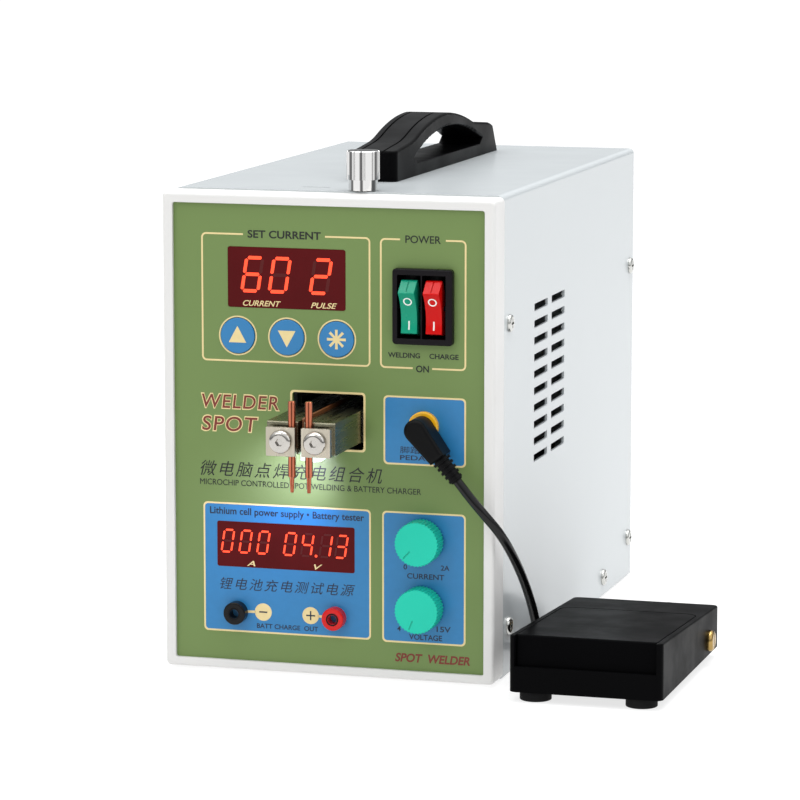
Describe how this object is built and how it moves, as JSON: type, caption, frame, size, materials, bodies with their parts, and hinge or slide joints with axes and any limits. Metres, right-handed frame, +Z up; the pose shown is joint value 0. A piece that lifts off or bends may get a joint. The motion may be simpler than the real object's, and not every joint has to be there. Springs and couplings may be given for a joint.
{
  "type": "spot welder",
  "caption": "Tabletop spot welder with swinging weld arms, rotary-screw pressure setting, battery charger panel, top handle and a corded foot pedal.",
  "frame": {"origin": "on the standing surface, under the middle of the bounding box of the welder and its pedal, without the free cord", "axes": "+Z up, the front panel faces -Y, the foot pedal stands beside the welder on its +X side"},
  "size_m": [0.2274, 0.3034, 0.2313],
  "materials": {
    "panel_green": "satin enamel, printed front panel",
    "bezel_frame": "warm off-white moulded frame",
    "cover_paint": "smooth gloss pale grey-blue powder coat",
    "inner_steel": "zinc plated sheet",
    "handle_black": "glossy black moulding with two grooves along the top",
    "screw_steel": "zinc plated cross recess screws",
    "rubber_black": "matt black rubber",
    "knob_chrome": "polished, knurled",
    "spring_steel": "plain spring steel wire",
    "arm_metal": "olive-grey anodised, brushed",
    "plate_nickel": "bright nickel plated",
    "screw_bright": "bright button head screws with a hexagon socket",
    "pin_copper": "drawn copper pin, worn tip",
    "insulator": "red-brown laminate sheet",
    "lamp_glow": "white lamp body with glowing lens",
    "copper_lead": "laminated copper foil",
    "core_steel": "varnished transformer laminations",
    "winding_copper": "enamelled copper winding",
    "heatsink_black": "black anodised fins",
    "board_green": "circuit board with solder mask",
    "display_body": "dark display body, lit red segments",
    "display_window": "dark red tinted filter",
    "button_blue": "blue face with a cream sign",
    "switch_black": "gloss black switch body",
    "rocker_green": "translucent green rocker",
    "rocker_red": "translucent red rocker",
    "knob_turquoise": "turquoise fluted knob with dark pointer line",
    "pot_metal": "rotary potentiometer case",
    "socket_black": "black socket collar",
    "socket_red": "red socket collar",
    "jack_ring": "yellow jack ring",
    "plug_black": "black moulded right-angle plug",
    "cord_black": "round black cord",
    "fan_black": "black fan frame",
    "rear_sheet": "pale grey-blue powder coat",
    "inlet_black": "black mains inlet with metal blades",
    "pedal_black": "black ABS, fine texture",
    "hinge_brass": "brass shoulder screws"
  },
  "bodies": {
    "root": {"arm_insulator": "insulator", "base_tray": "inner_steel", "carry_handle": "handle_black", "charger_board": "board_green", "control_board": "board_green", "cord_coil": "cord_black", "cord_plug": "plug_black", "cover_screws": "screw_steel", "cover_shell": "cover_paint", "display_windows": "display_window", "fan_frame": "fan_black", "frame_bolts": "screw_steel", "front_bezel": "bezel_frame", "front_panel": "panel_green", "head_frame": "inner_steel", "lead_left": "copper_lead", "lead_right": "copper_lead", "led_displays": "display_body", "mains_inlet": "inlet_black", "pedal_base": "pedal_black", "pedal_cord": "cord_black", "pedal_gland": "plug_black", "pedal_hinge_screws": "hinge_brass", "pedal_jack": "jack_ring", "pedal_spring": "spring_steel", "pedal_switch": "switch_black", "pivot_axle": "spring_steel", "potentiometers": "pot_metal", "rear_panel": "rear_sheet", "rocker_housing": "switch_black", "rubber_feet": "rubber_black", "secondary_bar": "copper_lead", "socket_black": "socket_black", "socket_red": "socket_red", "spring_left": "spring_steel", "spring_right": "spring_steel", "thyristor_heatsink": "heatsink_black", "transformer_core": "core_steel", "transformer_winding": "winding_copper", "work_lamp": "lamp_glow"},
    "arm_left": {"arm_left": "arm_metal", "clamp_plate_left": "plate_nickel", "clamp_screw_left": "screw_bright"},
    "arm_right": {"arm_right": "arm_metal", "clamp_plate_right": "plate_nickel", "clamp_screw_right": "screw_bright"},
    "electrode_left": {"electrode_left": "pin_copper"},
    "electrode_right": {"electrode_right": "pin_copper"},
    "button_up": {"button_up": "button_blue"},
    "button_down": {"button_down": "button_blue"},
    "button_pulse": {"button_pulse": "button_blue"},
    "rocker_green": {"rocker_green": "rocker_green"},
    "rocker_red": {"rocker_red": "rocker_red"},
    "current_knob": {"current_knob": "knob_turquoise"},
    "voltage_knob": {"voltage_knob": "knob_turquoise"},
    "pressure_knob": {"pressure_knob": "knob_chrome"},
    "pressure_nut": {"pressure_nut": "inner_steel"},
    "fan_rotor": {"fan_rotor": "fan_black"},
    "treadle": {"treadle": "pedal_black"},
    "switch_plunger": {"switch_plunger": "switch_black"}
  },
  "joints": [
    {"name": "arm_left_swing", "type": "hinge", "parent": "root", "child": "arm_left", "pos_m": [-0.03955, -0.03875, 0.109], "axis": [-1, 0, 0], "range_deg": [0, 4.5], "stiffness_Nm_per_rad": 4, "springref_deg": -6.88, "deforming": ["spring_left", "lead_left"]},
    {"name": "arm_right_swing", "type": "hinge", "parent": "root", "child": "arm_right", "pos_m": [-0.03955, -0.03875, 0.109], "axis": [-1, 0, 0], "range_deg": [0, 4.5], "stiffness_Nm_per_rad": 4, "springref_deg": -6.88, "deforming": ["spring_right", "lead_right"]},
    {"name": "electrode_left_adjust", "type": "slide", "parent": "arm_left", "child": "electrode_left", "axis": [0, 0, 1], "range_m": [-0.004, 0.006]},
    {"name": "electrode_right_adjust", "type": "slide", "parent": "arm_right", "child": "electrode_right", "axis": [0, 0, 1], "range_m": [-0.004, 0.006]},
    {"name": "button_up_press", "type": "slide", "parent": "root", "child": "button_up", "axis": [0, 1, 0], "range_m": [0, 0.0005], "stiffness_N_per_m": 1000, "springref_m": -0.0003},
    {"name": "button_down_press", "type": "slide", "parent": "root", "child": "button_down", "axis": [0, 1, 0], "range_m": [0, 0.0005], "stiffness_N_per_m": 1000, "springref_m": -0.0003},
    {"name": "button_pulse_press", "type": "slide", "parent": "root", "child": "button_pulse", "axis": [0, 1, 0], "range_m": [0, 0.0005], "stiffness_N_per_m": 1000, "springref_m": -0.0003},
    {"name": "rocker_green_tilt", "type": "hinge", "parent": "root", "child": "rocker_green", "pos_m": [-0.00305, -0.10635, 0.1604], "axis": [-1, 0, 0], "range_deg": [0, 30]},
    {"name": "rocker_red_tilt", "type": "hinge", "parent": "root", "child": "rocker_red", "pos_m": [0.00775, -0.10635, 0.1604], "axis": [-1, 0, 0], "range_deg": [0, 30]},
    {"name": "current_knob_turn", "type": "hinge", "parent": "root", "child": "current_knob", "pos_m": [0.00205, -0.10875, 0.0614], "axis": [0, 1, 0], "range_deg": [-12, 288]},
    {"name": "voltage_knob_turn", "type": "hinge", "parent": "root", "child": "voltage_knob", "pos_m": [0.00205, -0.10875, 0.0326], "axis": [0, 1, 0], "range_deg": [0, 300]},
    {"name": "pressure_knob_turn", "type": "hinge", "parent": "root", "child": "pressure_knob", "pos_m": [-0.02955, -0.08875, 0.207], "axis": [0, 0, 1], "range_deg": [-2880, 2160]},
    {"name": "pressure_nut_travel", "type": "slide", "parent": "root", "child": "pressure_nut", "axis": [0, 0, 1], "range_m": [-0.0081, 0.0061], "deforming": ["spring_left", "spring_right"]},
    {"name": "fan_spin", "type": "hinge", "parent": "root", "child": "fan_rotor", "pos_m": [-0.06455, 0.13725, 0.15], "axis": [0, 1, 0], "continuous": true},
    {"name": "treadle_press", "type": "hinge", "parent": "root", "child": "treadle", "pos_m": [0.07855, -0.03775, 0.0106], "axis": [1, 0, 0], "range_deg": [0, 3.6], "stiffness_Nm_per_rad": 3, "springref_deg": -5.73, "deforming": ["pedal_spring"]},
    {"name": "switch_plunger_press", "type": "slide", "parent": "root", "child": "switch_plunger", "axis": [0, 0, -1], "range_m": [0, 0.0014]}
  ],
  "couplings": [
    {"joint": "pressure_nut_travel", "follows": "pressure_knob_turn", "m_per_rad": 0.00015915},
    {"joint": "switch_plunger_press", "follows": "treadle_press", "m_per_rad": 0.021}
  ]
}
